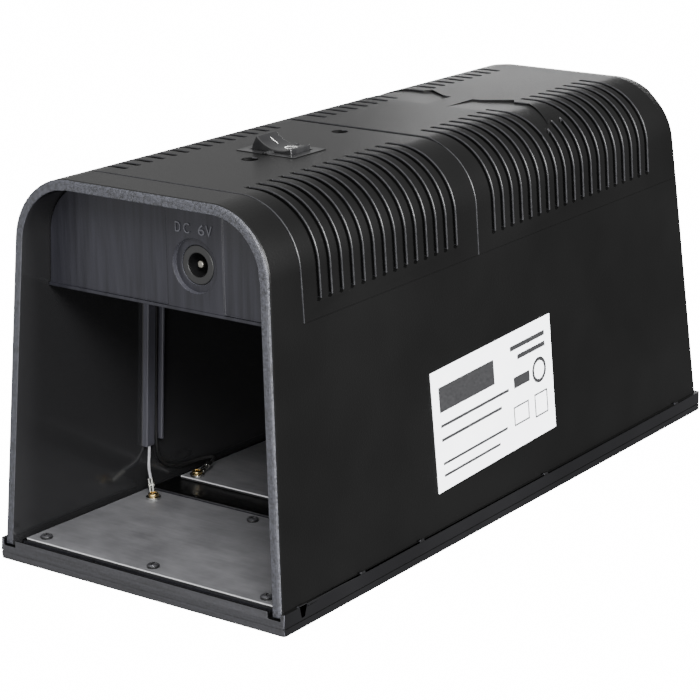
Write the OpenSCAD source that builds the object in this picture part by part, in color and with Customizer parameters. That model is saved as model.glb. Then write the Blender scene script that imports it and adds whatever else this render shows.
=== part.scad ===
// Electronic tunnel trap: a tapered tunnel on a tray, two live floor plates,
// electronics and a battery bay under the roof. +Z up, open end at -Y,
// origin at the middle of the underside. Millimetres.

/* [Body] */
// Length of the base, front to back
base_l = 235; // [230:1:240]
// Width of the base at its open end
base_w = 104; // [102:0.5:106]
// Height of the base rim
base_h = 6.2; // [5.8:0.1:6.6]
// Height of the roof over the underside
roof_h = 113.9; // [113.5:0.1:116]
// Thickness of the housing walls
wall = 3; // [2.5:0.1:3.2]
// Outer radius of the shoulders
shoulder_r = 19.7; // [18:0.1:21]
// Angle that each side turns in towards the rear
taper_a = 1.31; // [1.1:0.01:1.4]
// Angle that each side leans in towards the roof
side_lean = 3.36; // [3:0.02:3.6]
// Angle that the open end leans back
front_lean = 3; // [2:0.1:3.2]
// Angle that the rear wall leans forward
rear_lean = 6.4; // [6:0.1:6.6]

/* [Roof] */
// Where the front cover starts, from the middle
front_seam = -98.5; // [-99:0.1:-98]
// Where the battery cover starts, from the middle
middle_seam = -12.5; // [-13:0.1:-12]
// Height of the lower edge of both covers
cover_z = 81.6; // [81:0.1:82]
// Width of a shoulder groove
groove_w = 2.1; // [1.6:0.1:2.4]
// Depth of a shoulder groove
groove_d = 1.1; // [0.8:0.1:1.4]
// Distance from groove to groove
groove_pitch = 5.12; // [4.9:0.01:5.2]
// Grooves on each side of the front cover
front_grooves = 14; // [6:1:14]
// Grooves on each side of the battery cover
rear_grooves = 19; // [12:1:19]

/* [Electrics] */
// Diameter of the battery cells
cell_d = 26.2; // [25.5:0.1:26.4]
// Length of one battery cell
cell_l = 50; // [49:0.5:50]
// Length of the rocker switch frame, across the roof
switch_l = 21; // [20:0.5:22]
// Width of the rocker switch frame, along the roof
switch_w = 15; // [14:0.5:16]
// Tilt of the rocker to each side of level
rocker_tilt = 12; // [10:0.5:13]
// Diameter of the socket bore
jack_bore_d = 6.7; // [6.3:0.1:7]
// Diameter of the socket centre pin
jack_pin_d = 2.1; // [1.9:0.1:2.5]

/* [Floor] */
// Thickness of the steel floor plates
plate_t = 1; // [0.8:0.1:1.1]
// Front edge of the front plate
front_plate_y = -113.5; // [-114:0.1:-113]
// Length of the front plate
front_plate_l = 51.9; // [50:0.1:52]
// Front edge of the rear plate
rear_plate_y = -47; // [-48:0.1:-46]
// Length of the rear plate
rear_plate_l = 149; // [140:1:150]

/* [Hidden] */

$fn = 64;
eps = 0.01;
far = 90;               // past the side of anything
gap = 0.3;              // between pieces that are fitted together
half_w = 48.27;         // half the outer width at the floor, half way along
front_y = -117.3;       // open end at the floor
rear_y = 117.1;         // rear wall at the floor
foot_z = 4.3;           // where the housing stands in the base
floor_z = 5.2;          // top of the base floor
deck_z = 79.5;          // ceiling of the tunnel
deck_t = 2.2;
deck_top = deck_z + deck_t;
board_z = 84.7;         // underside of the circuit board
board_t = 1.6;
board_top = board_z + board_t;
tray_t = 1.2;
cell_x = 14.2;          // centre line of each row of cells
cell_z = deck_top + gap + tray_t + cell_d / 2;
bay_front = -8.5;       // inside length of the battery bay
bay_back = bay_front + 2 * cell_l + 6;
jack_x = 11.3;
jack_z = 92.8;
panel_y = -101.2;       // front face of the bulkhead
panel_t = 1.9;
switch_y = -48.5;
rocker_z = roof_h - 0.6; // height of the rocker's axis
plate_z = floor_z + 0.1;
plate_top = plate_z + plate_t;
conduit_y = -62;        // front of the wire conduit
conduit_l = 3.5;
conduit_depth = 2;      // how far it stands out from the wall
rib_y = -55.4;          // thin rib behind the conduit
conduit_foot = 19.5;
front_terminal = [-36.7, -67.6];
rear_terminal = [-38.9, -44.5];

black = [0.13, 0.13, 0.14];
dark = [0.20, 0.20, 0.21];
steel = [0.55, 0.56, 0.57];
brass = [0.80, 0.62, 0.30];
board_green = [0.10, 0.34, 0.20];
red = [0.62, 0.10, 0.09];

// ---- outline of the tunnel ----

// distance from the origin to a side plane, inset by d
function reach(d) = half_w * cos(side_lean) - d;
function arc_z(d) = roof_h - shoulder_r;
function arc_x(d) = (reach(d) - arc_z(d) * sin(side_lean) - (shoulder_r - d)) / cos(side_lean);
// half width of the side at height z, half way along, inset by d
function side_x(z, d = 0) = (reach(d) - z * sin(side_lean)) / cos(side_lean);
// height of the shoulder over x, half way along, inset by d
function shoulder_z(x, d = 0) = arc_z(d) + sqrt(pow(shoulder_r - d, 2) - pow(x - arc_x(d), 2));

// section of the right half in X and Z, running far to the left
module half_outline(d) {
    c = [arc_x(d), arc_z(d)];
    r = shoulder_r - d;
    union() {
        polygon([
            [-far, -10], [side_x(-10, d), -10],
            c + r * [cos(side_lean), sin(side_lean)],
            c + [0, r], [-far, c[1] + r]
        ]);
        translate(c) circle(r);
    }
}

// anything drawn in X and Z, extruded along Y from y0 to y1
module along_y(y0, y1) {
    translate([0, y1, 0]) rotate([90, 0, 0]) linear_extrude(y1 - y0) children();
}

// turns children with the right side's taper
module right_side() {
    rotate([0, 0, taper_a]) children();
}

// space between the leaning front plane, inset by f, and the rear plane, inset by b
module between_ends(f, b) {
    intersection() {
        translate([0, front_y + f, 0]) rotate([-front_lean, 0, 0]) translate([-far, 0, -60]) cube([2 * far, 300, 240]);
        translate([0, rear_y - b, 0]) rotate([rear_lean, 0, 0]) translate([-far, -300, -60]) cube([2 * far, 300, 240]);
    }
}

// endless tunnel form, inset by d
module section(d) {
    intersection() {
        right_side() along_y(-150, 150) half_outline(d);
        mirror([1, 0, 0]) right_side() along_y(-150, 150) half_outline(d);
    }
}

// solid tunnel form, inset by d, with its ends inset by f and b
module arch(d, f = 0, b = 0) {
    intersection() {
        section(d);
        between_ends(f, b);
    }
}

module slab(z0, z1, y0 = -150, y1 = 150) {
    translate([-far, y0, z0]) cube([2 * far, y1 - y0, z1 - z0]);
}

// ---- grooves over the shoulders ----

// the y, in the turned frame of the right side, that lies at y once it is turned
function turned_y(y, x) = (y - x * sin(taper_a)) / cos(taper_a);

// one groove on the right shoulder, square to the length, from the side up to x = top_x
module groove(y, top_x, top_z) {
    foot = cover_z + 5.2;
    intersection() {
        right_side() along_y(y - 5, y + 4) difference() {
            half_outline(-1);
            half_outline(groove_d);
            translate([-200, -200]) square([200 + top_x, 400]);
            translate([-200, -200]) square([400, 200 + foot]);
        }
        translate([0, y - groove_w / 2, 0]) cube([200, groove_w, 200]);
    }
    right_side() {
        translate([side_x(foot), turned_y(y, side_x(foot)), foot]) rotate([0, 90 - side_lean, 0])
            translate([0, 0, -groove_d]) cylinder(h = groove_d + 1, d = groove_w);
        translate([top_x, turned_y(y, top_x), top_z - groove_d]) cylinder(h = groove_d + 1, d = groove_w);
    }
}

// grooves number from to number to of a row, on both shoulders
module groove_row(first_y, from, to, top_x) {
    top_z = top_x < arc_x(0) ? roof_h : shoulder_z(top_x);
    for (i = [from : to]) {
        groove(first_y + i * groove_pitch, top_x, top_z);
        mirror([1, 0, 0]) groove(first_y + i * groove_pitch, top_x, top_z);
    }
}

// ---- base ----

// outline of the base, inset by d and by side more on its sides, with round corners of radius r
module base_outline(d, r, side = 0) {
    l = base_l / 2 - d;
    wf = base_w / 2 - d - side;
    wr = wf - base_l * tan(taper_a);
    front = [for (a = [0 : 15 : 90]) [wf - r + r * cos(a), -(l - r + r * sin(a))]];
    rear = [for (a = [90 : -15 : 0]) [wr - r + r * cos(a), l - r + r * sin(a)]];
    right = concat([for (i = [len(front) - 1 : -1 : 0]) front[i]], [for (i = [len(rear) - 1 : -1 : 0]) rear[i]]);
    left = [for (i = [len(right) - 1 : -1 : 0]) [-right[i][0], right[i][1]]];
    polygon(concat(right, left));
}

// places of the screws that hold the base to the housing posts
base_screw_places = [[-37.8, 107], [37.8, 107]];

rim = 0.7;              // rim of the base outside the housing foot
rim_side = 0.5;         // how much wider the rim is along the sides
// middle of the rim at y, from the centre line
function rim_x(y) = (base_w - rim) / 2 - 0.05 - (y + base_l / 2) * tan(taper_a);

module base_tray() {
    trough = 4.1;       // inner edge of the trough for the housing foot
    sill_x = 46.3;
    corner_r = 0.9;
    color(black) difference() {
        union() {
            linear_extrude(floor_z) base_outline(0, corner_r);
            linear_extrude(base_h) difference() {
                base_outline(0, corner_r);
                base_outline(rim, 0.3, rim_side);
            }
            for (s = [-1, 1]) {
                // small stops on the rim
                for (y = [-80.7, -51.2, 17.2, 101]) translate([s * rim_x(y), y - 1, base_h - 1])
                    translate([-rim / 2, 0, 0]) cube([rim, 2, 1.6]);
                // catch shaped like a T
                translate([s * (rim_x(-109) + 0.1), -109, 0]) {
                    translate([-rim / 2, -1.8, base_h - 0.6]) cube([rim, 3.6, 1]);
                    translate([-rim / 2, -0.7, base_h - 3.2]) cube([rim, 1.4, 3]);
                }
            }
            // ridge between the two plates
            translate([-42, -60.9, floor_z - eps]) cube([84, 1.6, 1.5]);
        }
        // trough for the housing foot, open at the front corners
        difference() {
            translate([0, 0, foot_z - 0.1]) linear_extrude(10) difference() {
                base_outline(rim, 0.3, rim_side);
                base_outline(trough, 1, rim_side);
            }
            translate([-sill_x, -base_l / 2 - 1, 0]) cube([2 * sill_x, 3, base_h - 0.1]);
        }
        for (s = [-1, 1]) translate([s * (sill_x + 2.2) - 2.2, -base_l / 2 - 1, foot_z - 0.1]) cube([4.4, 3, 5]);
        // step line round the outside
        translate([0, 0, 2]) linear_extrude(0.4) difference() {
            base_outline(-1, 2);
            base_outline(0.4, 0.5);
        }
        // hollow underside with ribs left standing
        difference() {
            translate([0, 0, -1]) linear_extrude(3.4) base_outline(6, 2);
            translate([-2, -base_l / 2, -2]) cube([4, base_l, 6]);
            for (y = [-78, -39, 0, 39, 78]) translate([-60, y - 1, -2]) cube([120, 2, 6]);
            for (p = base_screw_places) translate([p[0], p[1], -2]) cylinder(h = 6, r = 5);
        }
        for (p = base_screw_places) translate([p[0], p[1], -1]) {
            cylinder(h = 20, r = 1.7);
            cylinder(h = 3.2, r = 3.1);
        }
        // pilot holes under the plate and terminal screws
        for (p = plate_screw_places) translate([p[0], p[1], 3.1]) cylinder(h = 4, r = 1.25);
        for (p = [front_terminal, rear_terminal]) translate([p[0], p[1], 2.9]) cylinder(h = 4, r = 1);
    }
}

// ---- housing ----

// bar down the left wall, reaching in by depth from the wall
module wall_bar(y, l, depth, foot) {
    intersection() {
        translate([-60, y, foot]) cube([40, l, deck_z - 0.5 - foot]);
        difference() {
            section(wall - 0.5);
            section(wall + depth);
        }
    }
}

module housing_shell() {
    vent_d = 3.6;
    vent_pitch = 8;
    post_r = 3.4;
    post_top = 16;
    tongue = wall + gap + 1.2;      // inner face of the tongue inside the covers
    tongue_z = cover_z + 3;
    color(black) difference() {
        union() {
            difference() {
                arch(0);
                slab(cover_z - gap, 200, front_seam, 200);
            }
            intersection() {
                arch(wall + gap, 0, 0.4);
                slab(cover_z - 2, 200, front_seam - 1, 200);
            }
        }
        // the tunnel and the space under the covers
        intersection() {
            union() {
                intersection() {
                    section(wall);
                    union() {
                        slab(-20, cover_z - 2.4);
                        slab(-20, 200, -200, panel_y + panel_t + 0.1);
                        // gap in the tongue for the two plate wires
                        translate([-60, conduit_y - 0.4, cover_z - 3]) cube([30, rib_y - conduit_y, 8]);
                    }
                }
                section(tongue);
                slab(tongue_z, 200, front_seam + 2.5, 200);
            }
            between_ends(-10, wall);
        }
        slab(-20, foot_z);
        // vent holes through the rear wall
        for (row = [0 : 3]) for (i = [-3 : 3])
            translate([(i + (row % 2 == 0 ? 0 : 0.5)) * vent_pitch - 2, 90, 34 + row * vent_pitch])
                rotate([-90, 0, 0]) cylinder(h = 40, d = vent_d);
    }
    // hollow bar that leads the front wire down, and a thin rib behind the rear wire
    color(black) difference() {
        wall_bar(conduit_y, conduit_l, conduit_depth, conduit_foot);
        intersection() {
            translate([-60, conduit_y + 0.6, 0]) cube([40, conduit_l - 1.2, 120]);
            difference() {
                section(wall + 0.2);
                section(wall + conduit_depth - 0.5);
            }
        }
    }
    color(black) wall_bar(rib_y, 1, conduit_depth, conduit_foot + 1);
    // posts for the base screws, on the rear wall
    color(black) for (p = base_screw_places) difference() {
        intersection() {
            union() {
                translate([p[0], p[1], floor_z + 0.1]) cylinder(h = post_top - floor_z, r = post_r);
                translate([p[0] - post_r, p[1], floor_z + 0.1]) cube([2 * post_r, 20, post_top - floor_z]);
            }
            between_ends(0, wall - 0.5);
        }
        translate([p[0], p[1], 0]) cylinder(h = post_top - 2, r = 1.35);
    }
}

module cover_ring(y0, y1) {
    intersection() {
        difference() {
            arch(0);
            section(wall);
        }
        slab(cover_z, 200, y0, y1);
    }
}

indicator_at = [[0.2, -63.1], [-1.3, -18.8]];
indicator_d = 4.9;

module front_cover() {
    color(black) difference() {
        union() {
            cover_ring(front_seam + gap, middle_seam - gap);
            // strip under the battery cover's front edge
            intersection() {
                difference() {
                    arch(wall + gap);
                    arch(wall + gap + 1.2);
                }
                slab(cover_z + 4, 200, middle_seam - 3, middle_seam + 2.5);
            }
            intersection() {
                difference() {
                    arch(wall - 0.5);
                    arch(wall + gap + 1.2);
                }
                slab(cover_z + 4, 200, middle_seam - 3, middle_seam - gap);
            }
        }
        groove_row(-91, 0, front_grooves - 1, 19.8);
        translate([-(switch_l - 1.8) / 2, switch_y - (switch_w - 1.8) / 2, roof_h - 6]) cube([switch_l - 1.8, switch_w - 1.8, 12]);
        for (p = indicator_at) translate([p[0], p[1], roof_h - 6]) cylinder(h = 12, d = indicator_d);
    }
}

// one thumb scoop on the right: a ramp that ends in a step facing forward
module thumb_scoop() {
    difference() {
        translate([0, 0, roof_h - 16]) linear_extrude(20)
            polygon([[4, 28], [4, 43.5], [7, 43.7], [15.6, 49.5], [17.2, 47], [22.5, 47], [34, 40], [38, 28]]);
        translate([0, 26, 0]) rotate([-3.4, 0, 0]) translate([0, -26, 0]) arch(0);
    }
}

module battery_cover() {
    color(black) difference() {
        cover_ring(middle_seam, 150);
        groove_row(-3.9, 0, 7, 18.4);
        // three that start beside the thumb scoop
        groove_row(-3.9, 8, 8, 36.5);
        groove_row(-3.9, 9, 10, 34.6);
        groove_row(-3.9, 11, rear_grooves - 1, 18.4);
        thumb_scoop();
        mirror([1, 0, 0]) thumb_scoop();
    }
}

// ---- inner mouldings ----

module front_bulkhead() {
    recess_d = 15.3;
    color(dark) difference() {
        union() {
            intersection() {
                arch(wall + 0.2);
                slab(deck_z, 200, panel_y, panel_y + panel_t);
            }
            // lip along the lower edge
            intersection() {
                arch(wall + 0.2);
                slab(deck_z, deck_z + 1, panel_y - 0.6, panel_y + 1);
            }
            // socket panel, slightly proud
            intersection() {
                arch(wall + 0.2);
                translate([1.4, panel_y - 0.4, deck_z + 0.5]) cube([19.9, 1, 29.5]);
            }
        }
        translate([jack_x, panel_y + 1, jack_z]) rotate([90, 0, 0]) cylinder(h = 5, d = recess_d);
        translate([jack_x, panel_y + 5, jack_z]) rotate([90, 0, 0]) cylinder(h = 10, d = 11.2);
    }
}

board_screw_places = [[-27, -89.5], [27, -89.5], [-27, -20.5], [27, -20.5]];

module chassis_deck() {
    color(dark) difference() {
        union() {
            intersection() {
                arch(wall + gap + 1.4, 0, wall + gap);
                slab(deck_z, deck_top, panel_y + panel_t + 0.05, 150);
            }
            for (p = board_screw_places) translate([p[0], p[1], deck_top - eps]) cylinder(h = board_z - deck_top, r = 2.8);
        }
        for (p = board_screw_places) translate([p[0], p[1], deck_z + 0.6]) cylinder(h = 8, r = 0.95);
        // notch for the two plate wires
        translate([-45, conduit_y + 1, deck_z - 1]) cube([6.4, rib_y - conduit_y - 1, 6]);
    }
}

module battery_tray() {
    w = 2 * cell_x + cell_d + 0.8;
    side_t = 1.5;
    l = bay_back - bay_front;
    side_h = 15;
    z0 = deck_top + 0.1;
    color(dark) difference() {
        translate([-w / 2 - side_t, bay_front - side_t, z0]) cube([w + 2 * side_t, l + 2 * side_t, side_h + 8]);
        // room over the side walls
        for (s = [-1, 1]) translate([s * w / 2 - 5, bay_front + 3, z0 + side_h]) cube([10, l - 6, 20]);
        // one trough for each row of cells
        for (s = [-1, 1]) {
            translate([s * cell_x - cell_d / 2 - 0.4, bay_front, cell_z]) cube([cell_d + 0.8, l, 40]);
            translate([s * cell_x, bay_back, cell_z]) rotate([90, 0, 0]) cylinder(h = l, d = cell_d + 0.8);
        }
        translate([-3, bay_front + 3, z0 + side_h - 3]) cube([6, l - 6, 20]);
        // slots that hold the contact plates
        for (s = [-1, 1]) translate([s * cell_x - 5.3, bay_front - 0.8, z0 + 3]) cube([10.6, 1, 40]);
        translate([-cell_x - 5.3, bay_back - 0.2, z0 + 3]) cube([2 * cell_x + 10.6, 1, 40]);
    }
}

contact_z = deck_top + 3.3;

// negative contacts: a spring at the front of the left row and the back of the right row
module battery_springs() {
    free_l = 5;
    color(steel) {
        translate([-cell_x, bay_front, cell_z]) rotate([-90, 0, 0]) cylinder(h = free_l, r1 = 5, r2 = 3);
        translate([cell_x, bay_back - 0.3, cell_z]) rotate([90, 0, 0]) cylinder(h = free_l, r1 = 5, r2 = 3);
    }
}

module battery_contacts() {
    color(steel) for (s = [-1, 1]) translate([s * cell_x - 5, bay_front - 0.6, contact_z]) {
        cube([10, 0.5, 21]);
        translate([3.4, 0, 21 - eps]) cube([3.2, 0.5, 3]);
    }
    color(steel) translate([cell_x, bay_front - 0.1, cell_z]) rotate([-90, 0, 0]) cylinder(h = 1.2, r = 3.2);
}

module battery_bridge() {
    color(steel) {
        translate([-cell_x - 5, bay_back - 0.1 + 0.05, contact_z]) cube([2 * cell_x + 10, 0.5, 21]);
        translate([-cell_x, bay_back, cell_z]) rotate([90, 0, 0]) cylinder(h = 1.2, r = 3.2);
    }
}

// ---- rocker switch ----

module switch_body() {
    body_l = switch_l - 2;
    body_w = switch_w - 2;
    body_h = 14;
    well_l = 15.6;
    well_w = 9.4;
    color([0.09, 0.09, 0.10]) translate([0, switch_y, 0]) difference() {
        union() {
            translate([-switch_l / 2, -switch_w / 2, roof_h + 0.05]) cube([switch_l, switch_w, 0.9]);
            translate([-body_l / 2, -body_w / 2, roof_h - body_h]) cube([body_l, body_w, body_h + 0.5]);
        }
        translate([-well_l / 2, -well_w / 2, rocker_z - 6.5]) cube([well_l, well_w, 20]);
        translate([0, 20, rocker_z]) rotate([90, 0, 0]) cylinder(h = 40, r = 1.25);
    }
}

module switch_rocker() {
    rocker_l = 12.7;
    rocker_w = 9;
    flank = 7.2;        // half length where the rocker is longest
    crown = 3.6;        // height of the ends over the axis when level
    dish_r = 11.07;     // radius of the hollow top
    dish_z = 1.78;      // lowest place of the hollow over the axis
    color([0.09, 0.09, 0.10]) translate([0, switch_y, rocker_z]) rotate([0, rocker_tilt, 0]) {
        difference() {
            along_y(-rocker_w / 2, rocker_w / 2) polygon([
                [-rocker_l / 2, crown], [-flank, 0.8], [-flank, -1.2], [-2.4, -4.4],
                [2.4, -4.4], [flank, -1.2], [flank, 0.8], [rocker_l / 2, crown]
            ]);
            translate([0, 20, dish_z + dish_r]) rotate([90, 0, 0]) cylinder(h = 40, r = dish_r);
        }
        // stub axles
        for (s = [-1, 1]) translate([0, s * (rocker_w / 2 - 0.5), 0]) rotate([-90 * s, 0, 0]) cylinder(h = 1.6, r = 1.2);
    }
}

module switch_terminals() {
    tab_h = 7.5;
    color(brass) translate([0, switch_y, roof_h - 14 - tab_h])
        for (x = [-5, 2]) translate([x - 0.4, -2.4, 0]) cube([0.8, 4.8, tab_h - 0.02]);
}

// ---- lamps ----

module indicator(p) {
    r = indicator_d / 2 - 0.15;
    top = roof_h - 0.9;
    color([0.25, 0.25, 0.26]) translate([p[0], p[1], 0]) {
        translate([0, 0, top - 7]) cylinder(h = 5.6, r = r);
        intersection() {
            translate([0, 0, top - r]) sphere(r = r);
            translate([-5, -5, top - 1.5]) cube(10);
        }
        translate([0, 0, top - 8]) cylinder(h = 1.01, r = r + 0.4);
        for (s = [-1, 1]) translate([s * 1.27 - 0.25, -0.25, board_top + 0.02]) cube([0.5, 0.5, top - 8 - board_top]);
    }
}

module front_indicator() {
    indicator(indicator_at[0]);
}

module rear_indicator() {
    indicator(indicator_at[1]);
}

// ---- socket ----

jack_face = panel_y + 1.05;
jack_l = 14;
jack_depth = 10;        // of the bore
jack_root_d = 1.6;      // pin where it passes through the body

module dc_socket_body() {
    color([0.08, 0.08, 0.09]) translate([jack_x, jack_face, jack_z]) rotate([-90, 0, 0]) difference() {
        cylinder(h = jack_l, d = 11);
        translate([0, 0, -1]) cylinder(h = jack_depth + 1, d = jack_bore_d);
        cylinder(h = 30, d = jack_root_d + 0.1);
    }
}

module dc_socket_contacts() {
    pin_start = 1;
    color(steel) translate([jack_x, jack_face, jack_z]) {
        rotate([-90, 0, 0]) {
            translate([0, 0, pin_start]) cylinder(h = jack_depth - pin_start - 0.05, d = jack_pin_d);
            translate([0, 0, jack_depth - 1]) cylinder(h = jack_l - jack_depth + 2, d = jack_root_d);
        }
        translate([-0.9, jack_l + 0.9, -0.3]) cube([1.8, 5, 0.6]);
        translate([-4.4, jack_l + 0.02, -0.9]) cube([0.5, 5, 1.8]);
    }
}

module dc_socket_nut() {
    color(steel) translate([jack_x, panel_y + panel_t + 0.02, jack_z]) rotate([-90, 0, 0]) difference() {
        cylinder(h = 2, d = 14, $fn = 6);
        translate([0, 0, -1]) cylinder(h = 5, d = 11.04);
    }
}

// ---- circuit board ----

module circuit_board() {
    color(board_green) difference() {
        translate([-31, -93.5, board_z + 0.02]) cube([62, 77.5, board_t]);
        for (p = board_screw_places) translate([p[0], p[1], board_z - 1]) cylinder(h = 5, r = 1.4);
    }
}

module board_screws() {
    color(steel) for (p = board_screw_places) translate([p[0], p[1], board_top + 0.05]) {
        cylinder(h = 1.6, r = 2.4);
        translate([0, 0, -4]) cylinder(h = 4.5, r = 0.9);
    }
}

module step_up_transformer() {
    core_l = 22;
    core_w = 7;
    core_h = 17;
    z0 = board_top + 0.05;
    translate([-17, -77, z0]) {
        // two legs and a yoke each side of the winding
        color([0.22, 0.21, 0.21]) difference() {
            translate([-core_l / 2, -core_w / 2, 2]) cube([core_l, core_w, core_h]);
            for (s = [-1, 1]) translate([s * 6.1 - 2.1, -10, 5]) cube([4.2, 20, core_h - 6]);
        }
        color([0.78, 0.66, 0.22]) difference() {
            union() {
                translate([-8, -8, 5.1]) cube([16, 16, core_h - 6.2]);
                translate([-9.5, -8.5, 0]) cube([19, 17, 1.9]);
            }
            translate([-core_l / 2 - 1, -core_w / 2 - 0.02, 1.9]) cube([core_l + 2, core_w + 0.04, 30]);
        }
        color([0.78, 0.66, 0.22]) for (s = [-1, 1]) translate([-8, s * 5.8 - 2.2, 1.8]) cube([16, 4.4, 3.4]);
    }
}

module reservoir_capacitor() {
    color([0.12, 0.14, 0.30]) translate([21, -74, board_top + 0.05]) {
        cylinder(h = 15, r = 5);
        translate([0, 0, 15 - eps]) cylinder(h = 0.5, r = 4.4);
    }
}

module high_voltage_capacitors() {
    color([0.70, 0.20, 0.12]) for (i = [0 : 2])
        translate([-27, -64 + i * 9, board_top + 0.05]) cube([13, 5.5, 10.5]);
}

module controller_chip() {
    color([0.10, 0.10, 0.11]) translate([13, -42, board_top + 0.05]) {
        translate([-3.2, -5, 0.5]) cube([6.4, 10, 3.3]);
        for (i = [0 : 3]) for (s = [-1, 1])
            translate([s * 3.55 - 0.35 , i * 2.54 - 4.06, 0]) cube([0.7, 0.5, 2]);
    }
}

module board_diodes() {
    body_r = 1.35;
    body_l = 6;
    color([0.16, 0.16, 0.17]) for (i = [0 : 5])
        translate([3, -66 + i * 4.5, board_top + 0.05 + body_r]) rotate([0, 90, 0]) cylinder(h = body_l, r = body_r);
}

// ---- floor plates ----

module plate(y0, l, edge) {
    w0 = base_w / 2 - (y0 + base_l / 2) * tan(taper_a) - edge;
    w1 = w0 - l * tan(taper_a);
    translate([0, 0, plate_z]) linear_extrude(plate_t)
        polygon([[-w0, y0], [w0, y0], [w1, y0 + l], [-w1, y0 + l]]);
}

plate_screw_places = [
    [-40.5, -110.3], [0, -110.3], [40.5, -110.3], [0, -65.8], [38.5, -65.8],
    [0, -43.5], [37.5, -43.5], [-34.5, 98], [0, 98], [34.5, 98]
];

module plate_holes() {
    for (p = plate_screw_places) translate([p[0], p[1], 0]) cylinder(h = 20, r = 1.7);
    for (p = [front_terminal, rear_terminal]) translate([p[0], p[1], 0]) cylinder(h = 20, r = 1.2);
}

module front_plate() {
    color(steel) difference() {
        plate(front_plate_y, front_plate_l, 6.6);
        plate_holes();
    }
}

module rear_plate() {
    color(steel) difference() {
        plate(rear_plate_y, rear_plate_l, 6.9);
        plate_holes();
    }
}

// pan head with a cross recess, seat at z = 0
module pan_screw(head_r, head_h, shank_r, shank_l) {
    difference() {
        union() {
            cylinder(h = head_h * 0.55, r = head_r);
            intersection() {
                cylinder(h = head_h, r = head_r);
                translate([0, 0, head_h - head_r * 1.6]) sphere(r = head_r * 1.6);
            }
            translate([0, 0, -shank_l]) cylinder(h = shank_l + 0.1, r = shank_r);
        }
        for (a = [0, 90]) rotate([0, 0, a + 20]) translate([-head_r * 0.6, -0.28, head_h * 0.45]) cube([head_r * 1.2, 0.56, head_h]);
    }
}

module plate_screws() {
    color([0.12, 0.12, 0.13]) for (p = plate_screw_places)
        translate([p[0], p[1], plate_top + 0.02]) pan_screw(1.8, 1.3, 1.2, 3.1);
}

ring_t = 0.7;

module terminal_screws() {
    color(brass) for (p = [front_terminal, rear_terminal])
        translate([p[0], p[1], plate_top + ring_t + 0.06]) {
            pan_screw(1.6, 1.35, 0.95, 3.9);
        }
}

crimp_l = 4.7;          // length of the crimp barrel
crimp_r = 2.25;         // where it starts, from the middle of the ring
// ring lug at p; its barrel points along turn and rises by lift
module ring_lug(p, turn, lift) {
    translate([p[0], p[1], plate_top + 0.03]) rotate([0, 0, turn]) {
        difference() {
            union() {
                cylinder(h = ring_t, r = 2.3);
                translate([1.5, -0.85, 0]) cube([1.5, 1.7, ring_t]);
            }
            translate([0, 0, -1]) cylinder(h = 4, r = 1.15);
        }
        translate([crimp_r, 0, 0.78]) rotate([0, 90 - lift, 0]) {
            translate([0.05, -0.8, 0]) cube([0.6, 1.6, crimp_l]);
            // two wings rolled in over the wire, in two pairs
            for (s = [-1, 1]) translate([0, s * 0.45, 0]) {
                cylinder(h = 2.4, r = 0.55);
                translate([0, 0, 2.8]) cylinder(h = crimp_l - 2.8, r = 0.62);
            }
        }
    }
}

front_lug = [138.5, 48];    // turn and lift of each lug
rear_lug = [92, 20];

module ring_terminals() {
    color([0.80, 0.80, 0.78]) {
        ring_lug(front_terminal, front_lug[0], front_lug[1]);
        ring_lug(rear_terminal, rear_lug[0], rear_lug[1]);
    }
}

// point on the axis of a lug's barrel, at a distance past its end
function past_lug(p, lug, away) =
    let (r = crimp_r + (crimp_l + away) * cos(lug[1]))
    [p[0] + r * cos(lug[0]), p[1] + r * sin(lug[0]), plate_top + 0.81 + (crimp_l + away) * sin(lug[1])];

// ---- wires ----

function unit(v) = v / norm(v);
// point on a smooth curve through four points, between the middle two
function curve_point(a, b, c, d, t) =
    0.5 * ((2 * b) + (c - a) * t + (2 * a - 5 * b + 4 * c - d) * t * t + (3 * b - a - 3 * c + d) * t * t * t);
function smooth(p, n) = concat(
    [for (i = [0 : len(p) - 2]) for (k = [0 : n - 1])
        curve_point(p[max(i - 1, 0)], p[i], p[i + 1], p[min(i + 2, len(p) - 1)], k / n)],
    [p[len(p) - 1]]);
function heading(p, i) = unit(p[min(i + 1, len(p) - 1)] - p[max(i - 1, 0)]);
// a direction square to t that changes little from ring to ring
function across(t) = unit(cross(t, abs(t[0]) > 0.8 ? [0, 1, 0.3] : [1, 0.2, 0.1]));

// tube of radius r swept along the points p
module wire(p, r) {
    sides = 8;
    n = len(p);
    rings = [for (i = [0 : n - 1])
        let (t = heading(p, i), u = across(t), v = cross(t, u))
        for (k = [0 : sides - 1]) p[i] + r * (cos(k * 45) * u + sin(k * 45) * v)];
    walls = [for (i = [0 : n - 2]) for (k = [0 : sides - 1])
        let (a = i * sides + k, b = i * sides + (k + 1) % sides)
        each [[a, b + sides, b], [a, a + sides, b + sides]]];
    start = [for (k = [1 : sides - 2]) [0, k, k + 1]];
    end = [for (k = [1 : sides - 2]) [(n - 1) * sides, (n - 1) * sides + k + 1, (n - 1) * sides + k]];
    polyhedron(points = rings, faces = concat(walls, start, end), convexity = 4);
}

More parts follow.
